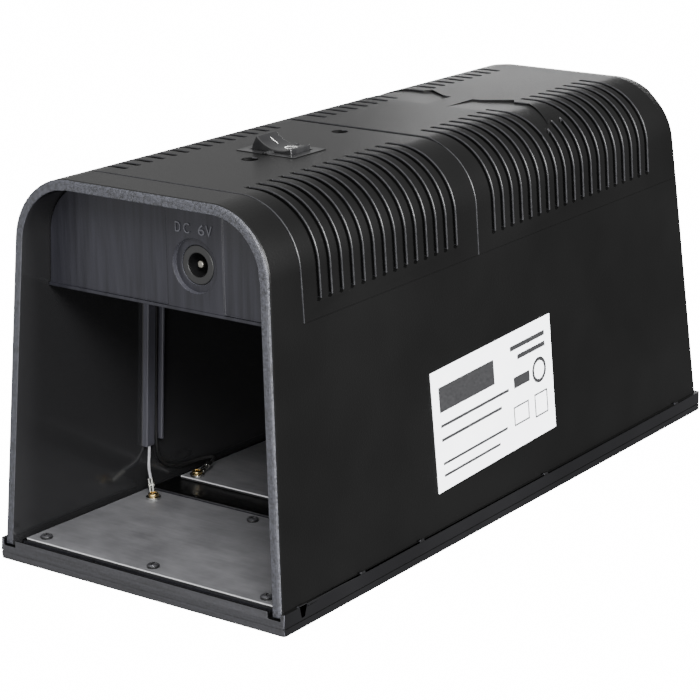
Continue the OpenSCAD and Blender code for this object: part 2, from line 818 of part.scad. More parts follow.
wire_r = 0.45;
front_wire_route = [
    [-29, -67, 86.5], [-30, -67, 90], [-34, -64, 91], [-38, -61.5, 89], [-40.8, -60.3, 82],
    [-41.4, -60.3, 74], [-42.5, -60.3, 55], [-43.65, -60, 35], [-44.3, -59.8, 24],
    [-44.52, -59.72, 19.6], [-44.1, -60.6, 16], [-43, -62.1, 13.2],
    past_lug(front_terminal, front_lug, 0.9), past_lug(front_terminal, front_lug, 0.12)
];
rear_wire_route = [
    [-29, -50, 86.5], [-30, -50, 90], [-34, -53, 91], [-38, -56.4, 89], [-40.4, -57, 82],
    [-41.4, -57, 74], [-42.5, -57, 55], [-43.6, -57, 35], [-44.1, -57, 20], [-44.5, -54.8, 13.5],
    [-44.5, -50, 10.2], [-44.2, -43, 9], [-43.4, -37.5, 9], [-41.6, -34.8, 9.2], [-39.8, -35.2, 9.3],
    past_lug(rear_terminal, rear_lug, 0.9), past_lug(rear_terminal, rear_lug, 0.12)
];

module front_plate_wire() {
    color(steel) wire(smooth(front_wire_route, 3), wire_r);
}

module rear_plate_wire() {
    color(steel) wire(smooth(rear_wire_route, 3), wire_r);
}

module switch_leads() {
    color(red) for (x = [-5, 2])
        wire(smooth([[x + 1.2, switch_y, 93], [x + 1.3, switch_y, 91], [x + 2, switch_y + 3, 90],
            [x + 3, switch_y + 10, 90], [x + 3, switch_y + 13, 88.5], [x + 3, switch_y + 13, 86.6]], 3), wire_r);
}

module socket_leads() {
    color(black) {
        wire(smooth([[11.3, -80.1, 92.8], [11.3, -77.5, 92.8], [11.3, -75, 91.5], [11.3, -74, 89], [11.3, -74, 86.6]], 3), wire_r);
        wire(smooth([[7.15, -81.05, 92.8], [6, -78, 92.7], [3, -75, 91], [3, -74, 89], [3, -74, 86.6]], 3), wire_r);
    }
}

module battery_leads() {
    for (s = [-1, 1]) color(s > 0 ? red : black)
        wire(smooth([[s * 14.2 + 5, -9.6, 107], [s * 14.2 + 5, -12, 107.5], [s * 14.2 + 4, -16, 104],
            [s * 14, -19, 97], [s * 12, -21, 90], [s * 12, -21.5, 86.6]], 3), wire_r);
}

// ---- fasteners and label ----

module base_screws() {
    color(steel) for (p = base_screw_places) translate([p[0], p[1], 2.15]) rotate([180, 0, 0]) pan_screw(2.8, 1.7, 1.3, 11);
}

module side_label() {
    label_l = 65.9;
    label_h = 36.3;
    label_t = 0.15;
    mid_y = -8.65;
    mid_z = 35.9;
    turn = 2;
    out = side_x(mid_z) + 0.02;
    color([0.92, 0.92, 0.94]) right_side() translate([out, mid_y, mid_z])
        rotate([0, -side_lean, 0]) rotate([turn, 0, 0])
            translate([0, -label_l / 2, -label_h / 2]) cube([label_t, label_l, label_h]);
}

base_tray();
housing_shell();
front_cover();
battery_cover();
front_bulkhead();
chassis_deck();
battery_tray();
battery_springs();
battery_contacts();
battery_bridge();
switch_body();
switch_rocker();
switch_terminals();
front_indicator();
rear_indicator();
dc_socket_body();
dc_socket_contacts();
dc_socket_nut();
circuit_board();
board_screws();
step_up_transformer();
reservoir_capacitor();
high_voltage_capacitors();
controller_chip();
board_diodes();
front_plate();
rear_plate();
plate_screws();
terminal_screws();
ring_terminals();
front_plate_wire();
rear_plate_wire();
switch_leads();
socket_leads();
battery_leads();
base_screws();
side_label();
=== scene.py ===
"""Looks of the electronic tunnel trap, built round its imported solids. Metres, +Z up, open end at -Y."""

import math

import bmesh
import bpy
from mathutils import Matrix, Vector


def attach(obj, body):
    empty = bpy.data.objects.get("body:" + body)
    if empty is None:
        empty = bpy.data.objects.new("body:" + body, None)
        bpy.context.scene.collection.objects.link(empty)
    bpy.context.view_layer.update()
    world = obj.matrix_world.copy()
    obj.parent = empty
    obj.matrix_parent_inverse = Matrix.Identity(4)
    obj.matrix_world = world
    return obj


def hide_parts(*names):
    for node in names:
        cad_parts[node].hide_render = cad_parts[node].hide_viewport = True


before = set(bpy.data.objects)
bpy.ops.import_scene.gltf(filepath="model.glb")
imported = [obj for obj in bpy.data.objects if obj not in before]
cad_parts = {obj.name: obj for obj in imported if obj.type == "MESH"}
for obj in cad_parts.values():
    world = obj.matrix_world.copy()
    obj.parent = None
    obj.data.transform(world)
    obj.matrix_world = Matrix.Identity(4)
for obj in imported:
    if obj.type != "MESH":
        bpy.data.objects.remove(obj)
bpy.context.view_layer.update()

MM = 0.001
HOUSING, COVER, ROCKER = "housing", "battery_cover", "rocker"

# sizes shared with the solids, in millimetres and degrees
FRONT_Y, REAR_Y, ROOF_Z = -117.3, 117.1, 113.9
FRONT_LEAN, REAR_LEAN, SIDE_LEAN, TAPER = 3.0, 6.4, 3.36, 1.31
HALF_W, SHOULDER_R = 48.27, 19.7
COVER_Z = 81.6  # lower edge of both covers
SWITCH_AT = Vector((0, -48.5, 113.3))  # the rocker's axis
WELL_HALF = 7.8  # half length of the well that the rocker sits in
ROCKER_TILT = 12.0
DISH_R, DISH_Z = 11.07, 1.78  # hollow top of the rocker: radius, and its lowest place over the axis
PANEL_Y = -101.6  # face of the socket panel
SOCKET_X, SOCKET_Z = 11.3, 92.8
CORE_X, CORE_Y = -17, -77  # middle of the transformer
CELL_X, CELL_Z = 14.2, 96.3
BAY_FRONT, BAY_BACK = -8.5, 97.5


# ---------------------------------------------------------------- camera

CAMERA_AT = Vector((442.33, -608.12, 266.88)) * MM
AZIMUTH, ELEVATION, ROLL = 36.81, 16.63, -0.85
LENS, SENSOR = 130.78, 36


def make_camera():
    a, e, r = (math.radians(x) for x in (AZIMUTH, ELEVATION, ROLL))
    back = Vector((math.sin(a) * math.cos(e), -math.cos(a) * math.cos(e), math.sin(e)))
    right = (-back).cross(Vector((0, 0, 1))).normalized()
    up = right.cross(-back)
    x_axis = math.cos(r) * right + math.sin(r) * up
    y_axis = -math.sin(r) * right + math.cos(r) * up
    data = bpy.data.cameras.new("camera")
    data.lens, data.sensor_width = LENS, SENSOR
    data.clip_start, data.clip_end = 0.05, 20
    camera = bpy.data.objects.new("camera", data)
    bpy.context.scene.collection.objects.link(camera)
    camera.matrix_world = Matrix(
        [[x_axis[i], y_axis[i], back[i], CAMERA_AT[i]] for i in range(3)] + [[0, 0, 0, 1]]
    )
    bpy.context.scene.camera = camera


make_camera()


# ---------------------------------------------------------------- materials


def linear(hex_colour):
    """sRGB hex to a linear RGBA colour."""
    out = []
    for i in (1, 3, 5):
        v = int(hex_colour[i : i + 2], 16) / 255
        out.append(v / 12.92 if v <= 0.04045 else ((v + 0.055) / 1.055) ** 2.4)
    return (*out, 1.0)


def add(tree, kind, inputs=None, **settings):
    """One node with its settings; inputs takes a value, or a socket to link from."""
    node = tree.nodes.new(kind)
    for key, value in settings.items():
        setattr(node, key, value)
    for key, value in (inputs or {}).items():
        if isinstance(value, bpy.types.NodeSocket):
            tree.links.new(value, node.inputs[key])
        else:
            node.inputs[key].default_value = value
    return node


def finish_of(name, colour, **values):
    """A material with its shader set; values are the shader's own sockets."""
    m = bpy.data.materials.new(name)
    m.use_nodes = True
    m.node_tree.nodes.clear()
    sockets = {k.replace("_", " "): v for k, v in values.items()}
    shader = add(m.node_tree, "ShaderNodeBsdfPrincipled", {"Base Color": linear(colour), **sockets})
    add(m.node_tree, "ShaderNodeOutputMaterial", {"Surface": shader.outputs[0]})
    m.diffuse_color = linear(colour)
    return m, m.node_tree, shader


def coords(tree, stretch=(1, 1, 1)):
    """Object coordinates; a stretch below 1 draws a pattern out along that axis."""
    place = add(tree, "ShaderNodeTexCoord").outputs["Object"]
    return add(tree, "ShaderNodeMapping", {"Vector": place, "Scale": stretch}).outputs[0]


def noise(tree, where, size_mm, detail=2.0, rough=0.5):
    return add(
        tree,
        "ShaderNodeTexNoise",
        {"Vector": where, "Scale": 1000 / size_mm, "Detail": detail, "Roughness": rough},
    ).outputs["Fac"]


def spread(tree, value, low, high, frm=0.3, to=0.7):
    """Runs from low to high while value runs over frm to to, where most of a noise lies."""
    return add(
        tree,
        "ShaderNodeMapRange",
        {"Value": value, "From Min": frm, "From Max": to, "To Min": low, "To Max": high},
    ).outputs[0]


def bump(tree, shader, height, depth_mm, strength=1.0):
    b = add(
        tree,
        "ShaderNodeBump",
        {"Height": height, "Distance": depth_mm * MM, "Strength": strength},
    )
    tree.links.new(b.outputs[0], shader.inputs["Normal"])


def mixed_colour(tree, shader, value, low, high):
    """Base colour that runs from low to high with value."""
    mix = add(tree, "ShaderNodeMix", data_type="RGBA")
    tree.links.new(value, mix.inputs[0])
    mix.inputs[6].default_value = linear(low)
    mix.inputs[7].default_value = linear(high)
    tree.links.new(mix.outputs[2], shader.inputs["Base Color"])


def mixed_roughness(tree, shader, value, low, high, frm=0.3, to=0.7):
    """Roughness that runs from low to high with value."""
    tree.links.new(spread(tree, value, low, high, frm, to), shader.inputs["Roughness"])


def textured_abs(name, low, high):
    # black ABS from a spark-eroded mould: a fine, even grain that breaks up its sheen
    m, t, s = finish_of(name, low, Roughness=0.35, IOR=1.54, Specular_IOR_Level=0.11)
    at = coords(t)
    grain = noise(t, at, 0.6, 3.0, 0.7)  # real grain is about 0.2 mm, drawn coarser to show
    drift = noise(t, at, 34, 2.0)
    mixed_roughness(t, s, drift, 0.34, 0.36)
    mixed_colour(t, s, spread(t, drift, 0.0, 1.0), low, high)
    bump(t, s, grain, 0.08, 0.6)
    return m


def striped_abs():
    # front of the base: milled mould steel left fine level lines in the plastic; its grey is painted light,
    # lighter than the top of the same black
    m, t, s = finish_of("striped_abs", "#202023", Roughness=0.42, IOR=1.54)
    lines = noise(t, coords(t, (0.03, 1, 1)), 0.9, 4.0, 0.7)
    grain = noise(t, coords(t), 0.8, 3.0, 0.7)
    both = add(t, "ShaderNodeMath", {0: lines, 1: grain}, operation="ADD").outputs[0]
    mixed_colour(t, s, spread(t, both, 0, 1, 0.75, 1.25), "#0d0d10", "#26262b")
    bump(t, s, both, 0.08, 0.7)
    return m


def polished_abs():
    # inner walls from the polished side of the mould: a greyer black, with a soft mirror sheen
    m, t, s = finish_of("polished_abs", "#242425", Roughness=0.16, IOR=1.54)
    at = coords(t)
    drift = noise(t, at, 26, 3.0, 0.6)
    mixed_roughness(t, s, drift, 0.12, 0.22)
    bump(t, s, drift, 0.05, 0.35)
    return m


def abs_painted_highlight_grey():
    # wire bar, socket recess wall and base corners: a soft grey painted on as the highlight these faces
    # catch, with faint upright drag streaks in it
    m, t, s = finish_of("abs_painted_highlight_grey", "#3c3c41", Roughness=0.44, IOR=1.54)
    drag = noise(t, coords(t, (1, 1, 0.05)), 0.9, 3.0, 0.6)
    mixed_roughness(t, s, drag, 0.38, 0.5)
    mixed_colour(t, s, drag, "#38383d", "#484850")
    bump(t, s, drag, 0.02, 0.4)
    return m


def flow_abs():
    # inner mouldings: plain black ABS with faint upright flow streaks from the gate
    m, t, s = finish_of("flow_abs", "#1a1a1f", Roughness=0.42, IOR=1.54, Specular_IOR_Level=0.25)
    streak = noise(t, coords(t, (1, 1, 0.06)), 2.2, 3.0, 0.6)
    mixed_roughness(t, s, streak, 0.38, 0.48)
    mixed_colour(t, s, spread(t, streak, 0, 1), "#17171c", "#25252b")
    bump(t, s, noise(t, coords(t), 0.6, 2.0), 0.03, 0.4)
    return m


def rim_abs():
    # end face of the housing, from a coarser eroded face; painted light: a lighter grey than the rest of
    # the black housing, with a painted sparkle grain by grain
    m, t, s = finish_of("rim_abs", "#222327", Roughness=0.46, IOR=1.54)
    at = coords(t)
    grain = noise(t, at, 0.8, 4.0, 0.75)
    mixed_roughness(t, s, grain, 0.34, 0.56)
    mixed_colour(t, s, spread(t, grain, 0, 1, 0.35, 0.65), "#101114", "#3c3d45")
    bump(t, s, grain, 0.3, 1.0)
    return m


def switch_nylon():
    # moulded nylon of the switch and socket: close and smooth, a little oily
    m, t, s = finish_of("switch_nylon", "#121213", Roughness=0.34, IOR=1.53)
    at = coords(t)
    mixed_roughness(t, s, noise(t, at, 3.5, 3.0), 0.28, 0.42)
    bump(t, s, noise(t, at, 0.5, 2.0), 0.02, 0.4)
    return m


def mark_paint(name, colour):
    # pad-printed paint: flat, slightly uneven at the edge of the film
    m, t, s = finish_of(name, colour, Roughness=0.55)
    mixed_roughness(t, s, noise(t, coords(t), 0.8), 0.48, 0.62)
    return m


def lamp_epoxy():
    # tinted epoxy of an unlit lamp: a dark body with a dulled skin
    m, t, s = finish_of("lamp_epoxy", "#111114", Roughness=0.3, IOR=1.5)
    mixed_roughness(t, s, noise(t, coords(t), 2.0), 0.28, 0.4)
    return m


def rolled_steel():
    # cold-rolled sheet under a dull zinc wash: soft clouds drawn out across it, and faint drag lines
    m, t, s = finish_of("rolled_steel", "#757578", Metallic=0.5, Roughness=0.56)
    lines = noise(t, coords(t, (0.1, 1, 1)), 1.1, 3.0, 0.6)
    cloud = noise(t, coords(t, (0.7, 1, 1)), 9, 5.0, 0.62)
    faint = spread(t, lines, 0, 0.12)
    both = add(t, "ShaderNodeMath", {0: cloud, 1: 0.85, 2: faint}, operation="MULTIPLY_ADD").outputs[0]
    mixed_roughness(t, s, both, 0.52, 0.6, 0.3, 0.65)
    mixed_colour(t, s, spread(t, both, 0, 1, 0.3, 0.65), "#717174", "#89898c")
    bump(t, s, cloud, 0.05, 0.4)
    return m


def plated(name, colour, rough, size=1.4):
    # bright plating over pressed metal: small dents and drag marks left in the film
    m, t, s = finish_of(name, colour, Metallic=1.0, Roughness=rough)
    wear = noise(t, coords(t), size, 3.0, 0.6)
    mixed_roughness(t, s, wear, rough * 0.7, rough * 1.4)
    bump(t, s, wear, 0.03, 0.5)
    return m


def black_oxide():
    # blackened screw steel: dark, with an oily half-metal shine
    m, t, s = finish_of("black_oxide", "#545457", Metallic=0.7, Roughness=0.34)
    wear = noise(t, coords(t), 0.8, 3.0)
    mixed_roughness(t, s, wear, 0.26, 0.45)
    mixed_colour(t, s, wear, "#434346", "#66666a")
    return m


def solder_mask():
    # green mask over copper runs: the runs stand up a little and read lighter
    m, t, s = finish_of("solder_mask", "#14532c", Roughness=0.3, Coat_Weight=0.3)
    at = coords(t, (1, 1, 0))
    runs = add(
        t,
        "ShaderNodeTexBrick",
        {"Vector": at, "Scale": 1000 / 26, "Mortar Size": 0.012, "Mortar Smooth": 0.1},
        offset=0.37,
    ).outputs["Fac"]
    mixed_colour(t, s, runs, "#11492a", "#1f7a45")
    bump(t, s, runs, 0.035, 1.0)
    return m


def ferrite():
    # fired ferrite: dull charcoal with fine pores
    m, t, s = finish_of("ferrite", "#2b2a2a", Roughness=0.7)
    pores = noise(t, coords(t), 0.5, 3.0, 0.7)
    mixed_colour(t, s, pores, "#232222", "#383635")
    bump(t, s, pores, 0.05, 0.6)
    return m


def winding_tape():
    # yellow polyester tape wound over the coil: lap lines every turn
    m, t, s = finish_of("winding_tape", "#c9a426", Roughness=0.28, Coat_Weight=0.4)
    at = coords(t)
    laps = add(
        t,
        "ShaderNodeTexWave",
        {"Vector": at, "Scale": 1000 / 60, "Distortion": 0.6, "Detail": 1.0},
        bands_direction="Z",
        wave_profile="SAW",
    ).outputs["Fac"]
    mixed_colour(t, s, laps, "#b58f1c", "#d6b33a")
    bump(t, s, laps, 0.06, 0.6)
    return m


def plain_body(name, low, high, rough, size, shine=0.5):
    # moulded or dipped body with a slight mottle in its film
    m, t, s = finish_of(name, low, Roughness=rough, Specular_IOR_Level=shine)
    film = noise(t, coords(t), size, 3.0)
    mixed_colour(t, s, spread(t, film, 0, 1), low, high)
    mixed_roughness(t, s, film, rough * 0.8, rough * 1.25)
    bump(t, s, film, 0.04, 0.4)
    return m


def label_film():
    # white polyester film with a satin top coat
    m, t, s = finish_of("label_film", "#f1f2f6", Roughness=0.4, IOR=1.5)
    film = noise(t, coords(t), 9, 2.0)
    mixed_colour(t, s, film, "#edeef3", "#f6f7fa")
    mixed_roughness(t, s, film, 0.34, 0.46)
    return m


ABS = textured_abs("textured_abs", "#080808", "#0b0b0b")
# the base's sides: a slightly lighter copy of the black, painted light by the way they face
SIDE_ABS = textured_abs("textured_abs_base", "#0c0c0d", "#111112")
BASE_ABS = striped_abs()
# a lighter grey painted on the rounded groove lips as their highlight lines
LIP_HIGHLIGHT_ABS = plain_body("abs_lip_painted_highlight", "#1c1c1e", "#262628", 0.38, 1.5, 0.18)
POLISHED = polished_abs()
HIGHLIGHT_GREY_ABS = abs_painted_highlight_grey()
FLOW = flow_abs()
RIM = rim_abs()
NYLON = switch_nylon()
MARK_WHITE = mark_paint("mark_white", "#dcdcda")
LABEL_INK = mark_paint("label_ink", "#101012")
LAMP = lamp_epoxy()
STEEL = rolled_steel()
# light grey painted along the top of the plates' edges: painted highlight
EDGE_HIGHLIGHT_STEEL = plain_body("steel_edge_painted_highlight", "#b4b4b7", "#d8d8da", 0.5, 0.5)
# near black painted on the lower part of the plates' edges: painted shade that leaves the lit line thin
EDGE_SHADE_STEEL = plain_body("steel_edge_painted_shade", "#1e1e20", "#2a2a2c", 0.7, 0.4)
TIN = plated("tin_plate", "#cfcfca", 0.22)
ZINC = plated("zinc_plate", "#b9bcc0", 0.32)
NICKEL = plated("nickel_plate", "#c9c4b8", 0.2)
# the socket pin is a darker copy of the nickel: painted shade of its bore
SHADED_PIN_NICKEL = plated("socket_pin_nickel_painted_shade", "#8d8a82", 0.3)
BRASS = plated("bright_brass", "#cdb580", 0.24)
OXIDE = black_oxide()
MASK = solder_mask()
FERRITE = ferrite()
TAPE = winding_tape()
SLEEVE = plain_body("capacitor_sleeve", "#12183a", "#1a2250", 0.3, 6)
EPOXY = plain_body("dipped_epoxy", "#8c2d18", "#a33a22", 0.35, 4)
CHIP = plain_body("chip_epoxy", "#1a1a1b", "#242425", 0.55, 1.2)
WIRE_GREY = plain_body("clear_sleeve_on_strand", "#8d8d91", "#a9a9ad", 0.3, 0.9)
WIRE_BLACK = plain_body("black_pvc", "#0c0c0d", "#141415", 0.6, 3)
WIRE_RED = plain_body("red_pvc", "#8f1512", "#a51c18", 0.38, 3)
SIGN = plain_body("moulded_sign_abs", "#37373d", "#45454c", 0.35, 0.8)
FILM = label_film()


# ---------------------------------------------------------------- shaping

SAME_POINT = 2e-6  # the solids come as loose triangles; corners this near to each other, in metres, are one


def merged(node):
    """The node's mesh with its doubles merged and its flat faces joined."""
    bm = bmesh.new()
    bm.from_mesh(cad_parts[node].data)
    bmesh.ops.remove_doubles(bm, verts=bm.verts, dist=SAME_POINT)
    bmesh.ops.dissolve_limit(
        bm,
        angle_limit=math.radians(0.6),
        use_dissolve_boundaries=False,
        verts=bm.verts,
        edges=bm.edges,
    )
    return bm


def cut_level(bm, point, normal):
    """Cuts the faces along a plane and keeps both sides."""
    whole = bm.verts[:] + bm.edges[:] + bm.faces[:]
    bmesh.ops.bisect_plane(bm, geom=whole, dist=1e-7, plane_co=point, plane_no=normal)


def sharp(bm, angle=35, wanted=None):
    """Edges that turn by more than angle, of those that wanted() takes."""
    limit = math.radians(angle)
    found = []
    for e in bm.edges:
        if len(e.link_faces) == 2 and e.calc_face_angle(0) > limit and (wanted is None or wanted(e)):
            found.append(e)
    return found


def bevel(bm, edges, width_mm, segments=2):
    """Rounds the edges and returns the new faces."""
    if not edges:
        return []
    return bmesh.ops.bevel(
        bm,
        geom=edges,
        offset=width_mm * MM,
        offset_type="OFFSET",
        segments=segments,
        profile=0.5,
        affect="EDGES",
        clamp_overlap=False,
        material=-1,
    )["faces"]


def piece(bm, name, body, materials, nodes=(), smooth=20):
    """Makes the mesh an object of the trap that rides on body and stands for nodes."""
    mesh = bpy.data.meshes.new(name)
    bm.to_mesh(mesh)
    bm.free()
    mesh.polygons.foreach_set("use_smooth", [True] * len(mesh.polygons))
    mesh.set_sharp_from_angle(angle=math.radians(smooth))
    for m in materials if isinstance(materials, (list, tuple)) else [materials]:
        mesh.materials.append(m)
    o = bpy.data.objects.new(name, mesh)
    bpy.context.scene.collection.objects.link(o)
    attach(o, body)
    if nodes:
        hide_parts(*nodes)
    return o


def take_in(whole, one):
    """Adds a finished mesh to another and lets it go."""
    mesh = bpy.data.meshes.new("part")
    one.to_mesh(mesh)
    one.free()
    whole.from_mesh(mesh)
    bpy.data.meshes.remove(mesh)


def even_shading(o):
    """Keeps the big flat faces evenly lit up to their edges, and creases that run across the trap crisp."""
    mesh = o.data
    bm = bmesh.new()
    bm.from_mesh(mesh)
    for e in bm.edges:
        along = (e.verts[1].co - e.verts[0].co).normalized()
        if len(e.link_faces) == 2 and abs(along.y) < 0.97 and e.calc_face_angle(0) > math.radians(1.5):
            e.smooth = False
    bm.to_mesh(mesh)
    bm.free()
    even = o.modifiers.new("even_shading", "WEIGHTED_NORMAL")
    even.keep_sharp = True
    even.weight = 100


def dressed(node, name, body, material, width_mm, angle=35, smooth=20):
    """The node's own form with its sharp edges eased."""
    bm = merged(node)
    bevel(bm, sharp(bm, angle), width_mm)
    return piece(bm, name, body, material, [node], smooth)


def slope(degrees):
    """Sideways step for each step along something that leans by so many degrees."""
    return math.tan(math.radians(degrees))


def share_of(value, start, end):
    """How far value has come from start to end, from 0 to 1."""
    return min(max((value - start) / (end - start), 0), 1)


def half_width(y, z=0):
    """Half the width of the housing, which tapers to the rear and leans in as it rises."""
    return HALF_W - y * slope(TAPER) - z * slope(SIDE_LEAN)


# ---------------------------------------------------------------- housing and base


def end_normal(sign, lean):
    """Outward direction of the front (-1) or rear (1) face, which leans back by lean degrees."""
    return Vector((0, sign * math.cos(math.radians(lean)), math.sin(math.radians(lean))))


front_normal = end_normal(-1, FRONT_LEAN)
rear_normal = end_normal(1, REAR_LEAN)
front_point = Vector((0, FRONT_Y, 0)) * MM
rear_point = Vector((0, REAR_Y, 0)) * MM


def middle(e):
    return (e.verts[0].co + e.verts[1].co) / 2


def out_of_tunnel(at):
    """Direction away from the middle of the tunnel, which is 50 mm up."""
    return Vector((at.x, 0, at.z - 0.05))


def outer_edge(e, point, normal):
    """True if the edge lies between an end face and a face that looks away from the tunnel."""
    if abs((middle(e) - point).dot(normal)) >= 0.05 * MM:
        return False
    ends = [f for f in e.link_faces if f.normal.dot(normal) > 0.99]
    sides = [f for f in e.link_faces if abs(f.normal.dot(normal)) < 0.5]
    return len(ends) == 1 and len(sides) == 1 and sides[0].normal.dot(out_of_tunnel(middle(e))) > 0


def front_edge(e):
    return outer_edge(e, front_point, front_normal)


def rear_edge(e):
    return outer_edge(e, rear_point, rear_normal)


def in_seam(e):
    """True along the seam 0.15 mm under the covers, which stays crisp."""
    return all(abs(v.co.z / MM - COVER_Z + 0.15) < 0.2 for v in e.verts)


def groove_lip(e):
    """True on the rear edge of a groove, where its wall meets the skin."""
    walls = [f for f in e.link_faces if f.normal.y < -0.95]
    skins = [f for f in e.link_faces if abs(f.normal.y) < 0.2]
    if len(walls) != 1 or len(skins) != 1 or not e.is_convex:
        return False
    return skins[0].normal.dot(out_of_tunnel(middle(e))) > 0


HOUSING_FINISHES = [ABS, POLISHED, RIM, HIGHLIGHT_GREY_ABS]
RIM_REACH = 8  # the front rim and its rounded edges lie this far back at most
WALL_X = 30  # the side walls lie beyond this on both sides
WALL_INSIDE = (2, 6)  # depth under the skin of the side walls' inner faces
BAR_Y, BAR_TOP = (-62.4, -54.2), 80  # the bar that leads the front wire down, on the left wall
BAR_INSIDE = (3.3, 6)


def housing_finish(f):
    """The material of a face of the housing, by its place and the way it looks."""
    c = f.calc_center_median() / MM
    inset = (half_width(c.y, c.z) - abs(c.x)) * math.cos(math.radians(SIDE_LEAN))
    # the front end face takes the rim's painted lighter grey and sparkle
    if f.normal.dot(front_normal) > 0.35 and c.y < FRONT_Y + RIM_REACH:
        return RIM
    on_bar = c.x < -WALL_X and c.z < BAR_TOP and BAR_Y[0] < c.y < BAR_Y[1]
    # the wire bar takes the painted highlight grey
    if on_bar and BAR_INSIDE[0] < inset < BAR_INSIDE[1]:
        return HIGHLIGHT_GREY_ABS
    looks_in = f.normal.x * c.x < -0.5 and abs(c.x) > WALL_X
    if looks_in and WALL_INSIDE[0] < inset < WALL_INSIDE[1]:
        return POLISHED
    if c.y < PANEL_Y and c.z > 75 and f.normal.dot(out_of_tunnel(c * MM)) < 0:  # arch before the panel
        return POLISHED
    if f.normal.dot(rear_normal) < -0.9 and c.y > 80:  # inside of the rear wall
        return POLISHED
    return ABS


def build_housing():
    bm = merged("housing_shell")
    bevel(bm, sharp(bm, 35, rear_edge), 0.5)
    bevel(bm, sharp(bm, 35, front_edge), 1.1, 3)
    bevel(bm, sharp(bm, 50, lambda e: e.calc_length() > 1.5 * MM and not in_seam(e)), 0.2, 1)
    for f in bm.faces:
        f.material_index = HOUSING_FINISHES.index(housing_finish(f))
    even_shading(piece(bm, "housing", HOUSING, HOUSING_FINISHES, ["housing_shell"]))


build_housing()

# the two covers: body, place of the front edge, and how far the scene sets that edge back
COVERS = {"front_cover": (HOUSING, -98.2, 0.5), "battery_cover": (COVER, -12.5, 1.7)}
ROOF_FLAT, ROOF_ROUND = 24, 31  # the roof is flat up to the first and well into its shoulder at the second
SCOOP_Y = (26, 52)
SCOOP_RAMP = 3.4  # how steeply the ramp of a thumb scoop falls
SCOOP_LIFT = 0.4  # share of its depth that the scene takes away
CREASE, FALL = 4.5, 0.6  # how far before the rear edge the roof falls away, and by how much
FALL_FROM, FALL_WHOLE = 94, 106  # heights between which the fall grows to its whole depth


def draw_in_rear(bm):
    """The last few millimetres of the roof fall away towards the rear edge, behind a faint crease."""
    cut_level(bm, rear_point - rear_normal * CREASE * MM, rear_normal)
    rim = {v for e in bm.edges if rear_edge(e) for v in e.verts}
    for v in rim:
        x, y, z = v.co / MM
        arc_x = half_width(y) - SHOULDER_R - 5.5  # the lean has brought the side in by 5.5 at this height
        towards = Vector((math.copysign(min(arc_x, abs(x)), x), 0, ROOF_Z - SHOULDER_R)) * MM
        way = towards - Vector((v.co.x, 0, v.co.z))
        v.co += way.normalized() * FALL * share_of(z, FALL_FROM, FALL_WHOLE) * MM


def soften_scoops(bm):
    """Takes the ramps of the two thumb scoops up to little more than half their depth."""
    ramps = set()
    for f in bm.faces:
        c = f.calc_center_median() / MM
        on_roof = SCOOP_Y[0] < c.y < SCOOP_Y[1] and c.z > 100
        if on_roof and 0.04 < f.normal.y < 0.3 and f.normal.z > 0.6:
            ramps.update(f.verts)
    for v in ramps:
        x, y, z = v.co / MM
        round_x = max(abs(x) - (half_width(y) - SHOULDER_R), 0)
        if SHOULDER_R - math.hypot(round_x, z - ROOF_Z + SHOULDER_R) > 0.08:  # below the skin
            v.co.z += SCOOP_LIFT * (y - SCOOP_Y[0]) * slope(SCOOP_RAMP) * MM


def open_seam(bm, edge_y, set_back):
    """Sets the cover's front edge back on the flat of the roof, where the seam reads wider."""
    for v in bm.verts:
        x, y, z = v.co / MM
        if abs(y - edge_y) < 0.02 and z > 105:
            v.co.y += set_back * share_of(abs(x), ROOF_ROUND, ROOF_FLAT) * MM


def close_lower_seam(bm):
    """Brings the skin's lower edge down to the housing, along the lean of the sides."""
    drop = 0.2
    for v in bm.verts:
        if abs(v.co.z / MM - COVER_Z) < 0.02:
            v.co.z -= drop * MM
            v.co.x += math.copysign(drop * slope(SIDE_LEAN), v.co.x) * MM


def build_cover(node, body, edge_y, set_back):
    bm = merged(node)
    open_seam(bm, edge_y, set_back)
    close_lower_seam(bm)
    if node == "battery_cover":
        soften_scoops(bm)
        draw_in_rear(bm)
        bevel(bm, sharp(bm, 35, rear_edge), 0.7, 3)
    # the rounded groove lips take the lighter grey: painted highlight
    for f in bevel(bm, sharp(bm, 50, groove_lip), 0.3):
        f.material_index = 1
    even_shading(piece(bm, node + "_skin", body, [ABS, LIP_HIGHLIGHT_ABS], [node]))


for node, settings in COVERS.items():
    build_cover(node, *settings)


def base_finish(f):
    """The material of a face of the base, by the way it faces: lighter and darker copies of the same black,
    painted light and shade.
    """
    # the two front corners take the painted highlight grey, a bright upright line
    if abs(f.normal.x) > 0.4 and f.normal.y < -0.4:  # the two front corners
        return HIGHLIGHT_GREY_ABS
    if abs(f.normal.x) > 0.5:
        return SIDE_ABS
    return ABS if f.normal.y > -0.5 else BASE_ABS


def build_base():
    finishes = [BASE_ABS, ABS, SIDE_ABS, HIGHLIGHT_GREY_ABS]
    step_z, step_depth = 2.2, 0.06  # the step line is all but lost on the front
    bm = merged("base_tray")
    bmesh.ops.remove_doubles(bm, verts=bm.verts, dist=0.05 * MM)
    front = min(v.co.y for v in bm.verts)
    for v in bm.verts:
        if abs(v.co.z / MM - step_z) < 0.3 and 0.2 * MM < v.co.y - front < 0.6 * MM:
            v.co.y = front + step_depth * MM
    bevel(bm, sharp(bm, 50, lambda e: e.calc_length() > 0.5 * MM and middle(e).z > 2.6 * MM), 0.2)
    for f in bm.faces:
        f.material_index = finishes.index(base_finish(f))
    piece(bm, "base", HOUSING, finishes, ["base_tray"])


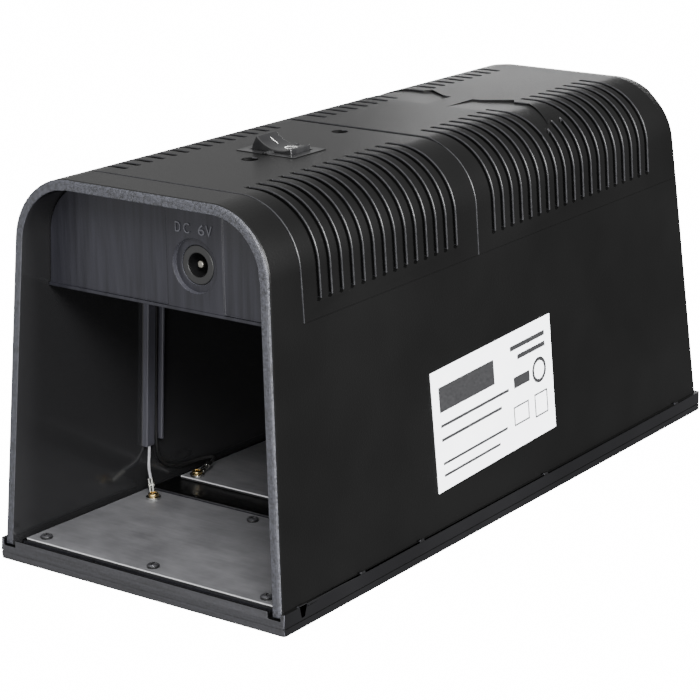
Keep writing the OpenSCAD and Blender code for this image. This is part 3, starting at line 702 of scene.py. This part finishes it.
def build_bulkhead():
    recess_r, recess_depth = 8, 3
    bm = merged("front_bulkhead")
    bevel(bm, sharp(bm, 35), 0.22)
    for f in bm.faces:
        c = f.calc_center_median() / MM
        near = math.hypot(c.x - SOCKET_X, c.z - SOCKET_Z) < recess_r and c.y < PANEL_Y + recess_depth
        # the recess wall round the socket takes the painted highlight grey, its light crescent
        if near and abs(f.normal.y) < 0.9:
            f.material_index = 1
    piece(bm, "bulkhead", HOUSING, [FLOW, HIGHLIGHT_GREY_ABS], ["front_bulkhead"])


build_base()
build_bulkhead()
dressed("chassis_deck", "deck", HOUSING, FLOW, 0.3)
dressed("battery_tray", "cell_tray", HOUSING, FLOW, 0.3)

# ---------------------------------------------------------------- floor plates and screws


def build_plate(node, name):
    """A steel sheet whose edge is painted in two bands: a light band along the top as a painted highlight,
    and a near-black band below as painted shade.
    """
    shade_band = 0.58  # height of the lower band
    bm = merged(node)
    split = min(v.co.z for v in bm.verts) + shade_band * MM
    cut_level(bm, (0, 0, split), (0, 0, 1))
    bevel(bm, sharp(bm, 35), 0.08, 1)
    for f in bm.faces:
        if abs(f.normal.z) < 0.5:
            f.material_index = 1 if f.calc_center_median().z > split else 2
    piece(bm, name, HOUSING, [STEEL, EDGE_HIGHLIGHT_STEEL, EDGE_SHADE_STEEL], [node])


def build_floor_screws():
    bm = merged("plate_screws")
    bevel(bm, sharp(bm, 50), 0.16)
    for f in bm.faces:
        # the sides of the heads are painted in black nylon, a painted shade round their lit tops
        if f.normal.z < 0.75:  # the sides of the heads and all below them
            f.material_index = 1
    piece(bm, "floor_screws", HOUSING, [OXIDE, NYLON], ["plate_screws"])


build_plate("front_plate", "live_plate_front")
build_plate("rear_plate", "live_plate_rear")
build_floor_screws()
dressed("terminal_screws", "terminal_screw_pair", HOUSING, BRASS, 0.12, 50)
dressed("ring_terminals", "crimp_rings", HOUSING, TIN, 0.08, 50)
dressed("base_screws", "base_screw_pair", HOUSING, ZINC, 0.12, 50)

# ---------------------------------------------------------------- switch, lamps, socket


def build_switch_frame():
    """The switch's frame, pressed almost flush with the roof; it takes the roof's finish round the well."""
    proud = 0.2
    bm = merged("switch_body")
    for v in bm.verts:
        if v.co.z / MM > ROOF_Z + 0.6:  # the upper side of the frame
            v.co.z = (ROOF_Z + proud) * MM
    bevel(bm, sharp(bm, 35), 0.08)
    for f in bm.faces:
        c = f.calc_center_median() / MM
        if c.z > ROOF_Z and abs(c.x) > WELL_HALF + 0.01:
            f.material_index = 1
    piece(bm, "switch_frame", HOUSING, [NYLON, ABS], ["switch_body"])


build_switch_frame()
dressed("switch_rocker", "rocker_key", ROCKER, NYLON, 0.25, 40)
dressed("switch_terminals", "switch_tabs", HOUSING, BRASS, 0.1)
dressed("front_indicator", "lamp_front", HOUSING, LAMP, 0.08, 50)
dressed("rear_indicator", "lamp_rear", HOUSING, LAMP, 0.08, 50)
dressed("dc_socket_body", "socket", HOUSING, NYLON, 0.3)
dressed("dc_socket_contacts", "socket_pin", HOUSING, SHADED_PIN_NICKEL, 0.35, 50)
dressed("dc_socket_nut", "socket_nut", HOUSING, NICKEL, 0.12)

# ---------------------------------------------------------------- board and battery parts


def build_transformer():
    """A taped coil between the limbs and yoke of its ferrite core."""
    core_half, coil_half, coil_top = 3.7, 8.1, 102.2
    bm = merged("step_up_transformer")
    bevel(bm, sharp(bm, 35), 0.25)
    for f in bm.faces:
        c = f.calc_center_median() / MM
        if abs(c.y - CORE_Y) < core_half and (abs(c.x - CORE_X) > coil_half or c.z > coil_top):
            f.material_index = 1
    piece(bm, "transformer", HOUSING, [TAPE, FERRITE], ["step_up_transformer"])


dressed("circuit_board", "board", HOUSING, MASK, 0.1)
dressed("board_screws", "board_screw_set", HOUSING, ZINC, 0.15)
build_transformer()
dressed("reservoir_capacitor", "electrolytic", HOUSING, SLEEVE, 0.4)
dressed("high_voltage_capacitors", "film_capacitors", HOUSING, EPOXY, 0.9)
dressed("controller_chip", "chip", HOUSING, CHIP, 0.1)
dressed("board_diodes", "diodes", HOUSING, CHIP, 0.2)
dressed("battery_contacts", "cell_contacts", HOUSING, NICKEL, 0.1)
dressed("battery_bridge", "cell_bridge", HOUSING, NICKEL, 0.1)


def coil(at, along):
    """A conical spring of round wire that narrows from at towards the cell; along is +1 or -1 in Y."""
    wire_r, coil_r, turns, length = 0.45, 4.5, 4, 4.1
    narrowing = 0.4  # the last turn is this share smaller than the first
    steps = turns * 20
    bm = bmesh.new()
    ring = bmesh.ops.create_circle(bm, segments=8, radius=wire_r * MM)["verts"]
    bmesh.ops.translate(bm, verts=ring, vec=Vector((coil_r, 0, 0)) * MM)
    edges = bm.edges[:]
    made = bmesh.ops.spin(
        bm,
        geom=ring + edges,
        cent=(0, 0, 0),
        axis=(0, 1, 0),
        angle=2 * math.pi * turns,
        steps=steps,
        dvec=(0, length / steps * MM, 0),
    )
    for loop in (edges, [g for g in made["geom_last"] if isinstance(g, bmesh.types.BMEdge)]):
        bmesh.ops.edgeloop_fill(bm, edges=loop)
    for v in bm.verts:
        shrink = 1 - narrowing * share_of(v.co.y, 0, length * MM)
        v.co = Vector((v.co.x * shrink, v.co.y * along, v.co.z * shrink)) + Vector(at) * MM
    bmesh.ops.recalc_face_normals(bm, faces=bm.faces)
    return bm


def build_springs():
    whole = bmesh.new()
    take_in(whole, coil((-CELL_X, BAY_FRONT + 0.45, CELL_Z), 1))
    take_in(whole, coil((CELL_X, BAY_BACK - 0.75, CELL_Z), -1))
    piece(whole, "cell_springs", HOUSING, NICKEL, ["battery_springs"], smooth=60)


build_springs()
# the wires keep their own round form
for node, name, material, colour in (
    ("front_plate_wire", "lead_front_plate", WIRE_GREY, "grey"),
    ("rear_plate_wire", "lead_rear_plate", WIRE_BLACK, "black"),
    ("switch_leads", "leads_switch", WIRE_RED, "red"),
    ("socket_leads", "leads_socket", WIRE_BLACK, "black"),
    ("battery_leads", "leads_battery", WIRE_RED, "red"),
):
    dressed(node, name, HOUSING, material, 0.01, 80, smooth=60)
dressed("side_label", "label_sheet", HOUSING, FILM, 0.04)


# ---------------------------------------------------------------- marks and print

INK = 0.02  # thickness of printed ink


def sheet_of(bm, thick_mm, towards):
    """Gives flat faces a thickness, on the side that towards points to."""
    faces = bm.faces[:]
    bmesh.ops.recalc_face_normals(bm, faces=faces)
    if faces[0].normal.dot(towards) < 0:
        bmesh.ops.reverse_faces(bm, faces=faces)
    made = bmesh.ops.extrude_face_region(bm, geom=faces, use_keep_orig=True)["geom"]
    raised = [g for g in made if isinstance(g, bmesh.types.BMVert)]
    bmesh.ops.translate(bm, verts=raised, vec=towards * thick_mm * MM)
    bmesh.ops.recalc_face_normals(bm, faces=bm.faces)


def rectangle(bm, length, height, strips=1):
    """Corners of a flat rectangle round the origin of the XY plane, cut into strips along its length."""
    made = bmesh.ops.create_grid(bm, x_segments=strips, y_segments=1, size=0.5)["verts"]
    bmesh.ops.scale(bm, verts=made, vec=(length * MM, height * MM, 1))
    return made


def ring(bm, radius, inner):
    """Corners of a flat ring round the origin of the XY plane."""
    loops = [bmesh.ops.create_circle(bm, segments=40, radius=r * MM)["verts"] for r in (radius, inner)]
    made = [v for loop in loops for v in loop]
    bmesh.ops.bridge_loops(bm, edges=list({e for v in made for e in v.link_edges}))
    return made


def on_key(point):
    """A point of the level key's own frame, with height over its hollow top, at its place on the trap."""
    x, y, height = point / MM
    z = DISH_Z + DISH_R - math.sqrt(DISH_R**2 - x**2) + height
    c, s = math.cos(math.radians(ROCKER_TILT)), math.sin(math.radians(ROCKER_TILT))
    return (SWITCH_AT + Vector((x * c + z * s, y, z * c - x * s))) * MM


def print_on_key(bm, name, at_mm):
    """Makes flat faces a mark that is printed on the rocker, at a place in the level key's frame."""
    bmesh.ops.translate(bm, verts=bm.verts, vec=Vector(at_mm) * MM)
    sheet_of(bm, INK, Vector((0, 0, 1)))
    for v in bm.verts:
        v.co = on_key(v.co)
    piece(bm, name, ROCKER, MARK_WHITE)


def build_switch_marks():
    bar_mark = bmesh.new()
    rectangle(bar_mark, 3.0, 0.2, 10)
    print_on_key(bar_mark, "mark_bar", (-3.23, 0.4, 0.06))
    ring_mark = bmesh.new()
    ring(ring_mark, 1.74, 1.46)
    print_on_key(ring_mark, "mark_ring", (2.82, 0.4, 0.12))


build_switch_marks()

SIGN_PROUD, SIGN_SUNK = 0.22, 0.02  # how far the moulded sign stands out of the panel and reaches into it
# the voltage sign over the socket: each character with its left, right, lower and upper edge
SOCKET_SIGN = (
    ("D", 5.0, 6.9, 101.75, 104.6),
    ("C", 7.95, 10.1, 101.75, 104.6),
    ("6", 13.1, 15.3, 101.75, 104.75),
    ("V", 15.7, 17.9, 101.65, 104.75),
)


def character(sign, x0, x1, z0, z1):
    """One moulded character on the socket panel, fitted to its box."""
    data = bpy.data.curves.new("sign", "FONT")
    data.body, data.extrude, data.resolution_u = sign, 0.1, 4
    text = bpy.data.objects.new("sign", data)
    bpy.context.scene.collection.objects.link(text)
    mesh = bpy.data.meshes.new_from_object(text.evaluated_get(bpy.context.evaluated_depsgraph_get()))
    bpy.data.objects.remove(text)
    bm = bmesh.new()
    bm.from_mesh(mesh)
    bmesh.ops.remove_doubles(bm, verts=bm.verts, dist=1e-5)
    low = [min(v.co[i] for v in bm.verts) for i in range(3)]
    high = [max(v.co[i] for v in bm.verts) for i in range(3)]
    for v in bm.verts:
        across, up, out = ((v.co[i] - low[i]) / (high[i] - low[i]) for i in range(3))
        y = PANEL_Y + SIGN_SUNK - (SIGN_PROUD + SIGN_SUNK) * out
        v.co = Vector((x0 + across * (x1 - x0), y, z0 + up * (z1 - z0))) * MM
    bmesh.ops.recalc_face_normals(bm, faces=bm.faces)
    return bm


def build_socket_sign():
    whole = bmesh.new()
    for row in SOCKET_SIGN:
        take_in(whole, character(*row))
    piece(whole, "socket_sign", HOUSING, SIGN)


build_socket_sign()


def label_frame():
    """Lower front corner of the label's face, and its directions along, up and out."""
    bm = merged("side_label")
    face = max(bm.faces, key=lambda f: f.normal.x)
    out = face.normal.copy()
    corners = sorted((v.co.copy() for v in face.verts), key=lambda c: c.y)
    front = sorted(corners[:2], key=lambda c: c.z)
    back = sorted(corners[2:], key=lambda c: c.z)
    origin = front[0]
    along = (back[0] - origin).normalized()
    up = (front[1] - origin).normalized()
    bm.free()
    return origin, along, up, out


# plain blocks and rules where a label has its print: along and up from its corner, length, height
LABEL_BLOCKS = (
    (3.6, 23.4, 29.6, 7.6),
    (42.6, 30.6, 19.6, 1.5),
    (46.4, 27.2, 15.8, 1.5),
    (3.6, 18.9, 37.0, 0.9),
    (3.6, 14.7, 32.5, 0.9),
    (3.6, 7.6, 35.0, 0.8),
    (3.6, 4.0, 30.5, 0.8),
    (43.6, 18.8, 9.0, 3.4),
)
LABEL_FRAMES = ((42.6, 7.2, 8.6, 6.0), (54.6, 6.2, 7.4, 7.4))
FRAME_LINE = 0.7
LABEL_RING = (58.2, 20.6, 4.0, 2.9)  # its middle along and up, outer and inner radius


def build_label_print():
    origin, along, up, out = label_frame()
    turn = Matrix((along, up, out)).transposed()
    whole = bmesh.new()

    def place(verts, x, y):
        for v in verts:
            v.co = origin + turn @ (v.co + Vector((x, y, 0.01)) * MM)

    for x, y, w, h in LABEL_BLOCKS:
        place(rectangle(whole, w, h), x + w / 2, y + h / 2)
    for x, y, w, h in LABEL_FRAMES:
        made = rectangle(whole, w, h)
        face = made[0].link_faces[0]
        bmesh.ops.inset_region(whole, faces=[face], thickness=FRAME_LINE * MM, use_boundary=True)
        rim = set(made) | set(face.verts)
        bmesh.ops.delete(whole, geom=[face], context="FACES_ONLY")
        place(rim, x + w / 2, y + h / 2)
    x, y, radius, inner = LABEL_RING
    place(ring(whole, radius, inner), x, y)
    sheet_of(whole, INK, out)
    piece(whole, "label_print", HOUSING, LABEL_INK)


build_label_print()

# ---------------------------------------------------------------- studio

# how bright the studio is from each side: the dot of a direction with FRONT_LEFT, then the level
FRONT_LEFT = Vector((-0.45, -0.85, 0.14)).normalized()
STUDIO_LEVELS = ((-1.0, 0.1), (-0.6, 0.24), (-0.3, 0.7), (0.2, 0.5), (0.6, 0.75), (1.0, 1.1))
TOP_LEVEL = 1.6  # what straight above adds to that
TOP_FROM = 0.7  # rise of a direction from which it starts to add
WHITE_LEVEL = 16.0  # how bright the camera sees the studio itself, so that it comes out plain white


def build_floor():
    """A floor that only keeps the light from below away."""
    bm = bmesh.new()
    bmesh.ops.create_grid(bm, x_segments=1, y_segments=1, size=4)
    mesh = bpy.data.meshes.new("studio_floor")
    bm.to_mesh(mesh)
    bm.free()
    mesh.materials.append(finish_of("studio_floor", "#f4f4f4", Roughness=0.9)[0])
    floor = bpy.data.objects.new("studio_floor", mesh)
    bpy.context.scene.collection.objects.link(floor)
    floor.visible_camera = False
    floor.visible_glossy = False
    floor.visible_diffuse = False


def side_level(t, way):
    """How bright the studio is at the side that a direction points to."""
    dot = add(t, "ShaderNodeVectorMath", {0: way, 1: FRONT_LEFT}, operation="DOT_PRODUCT").outputs["Value"]
    ramp = add(t, "ShaderNodeValToRGB", {0: spread(t, dot, 0, 1, -1, 1)})
    ramp.color_ramp.interpolation = "EASE"
    brightest = max(level for _, level in STUDIO_LEVELS)
    stops = ramp.color_ramp.elements
    for i, (at, level) in enumerate(STUDIO_LEVELS):
        place = (at + 1) / 2
        stop = stops[i] if i < 2 else stops.new(place)  # a new ramp comes with two stops
        stop.position = place
        stop.color = (level / brightest,) * 3 + (1,)
    return add(t, "ShaderNodeMath", {0: ramp.outputs[0], 1: brightest}, operation="MULTIPLY").outputs[0]


def build_world():
    world = bpy.data.worlds.new("studio")
    world.use_nodes = True
    t = world.node_tree
    t.nodes.clear()
    way = add(t, "ShaderNodeTexCoord").outputs["Generated"]
    rise = add(t, "ShaderNodeSeparateXYZ", {0: way}).outputs["Z"]
    overhead = spread(t, rise, 0, TOP_LEVEL, TOP_FROM, 1.0)
    level = add(t, "ShaderNodeMath", {0: side_level(t, way), 1: overhead}, operation="ADD").outputs[0]
    seen = add(t, "ShaderNodeLightPath").outputs["Is Camera Ray"]
    level = add(t, "ShaderNodeMix", {0: seen, 2: level, 3: WHITE_LEVEL}).outputs[0]
    sky = add(t, "ShaderNodeBackground", {"Color": (1, 1, 1, 1), "Strength": level})
    add(t, "ShaderNodeOutputWorld", {"Surface": sky.outputs[0]})
    bpy.context.scene.world = world


def softbox(name, at_mm, towards_mm, width_mm, height_mm, watts):
    data = bpy.data.lights.new(name, "AREA")
    data.shape = "RECTANGLE"
    data.size, data.size_y = width_mm * MM, height_mm * MM
    data.energy = watts
    o = bpy.data.objects.new(name, data)
    bpy.context.scene.collection.objects.link(o)
    at, to = Vector(at_mm) * MM, Vector(towards_mm) * MM
    o.location = at
    o.rotation_mode = "QUATERNION"
    o.rotation_quaternion = (to - at).to_track_quat("-Z", "Y")


build_floor()
build_world()
softbox("fill", (1350, 120, 650), (30, 0, 50), 700, 600, 112)
softbox("tunnel", (-60, -900, 70), (0, 110, 45), 300, 150, 1.8)
softbox("tunnel_left", (380, -850, 90), (-45, -40, 45), 300, 200, 3.2)
softbox("front_top", (760, -820, 860), (0, -90, 20), 600, 400, 25)
softbox("back", (-355, 900, 183), (0, 60, 100), 470, 125, 1.0)
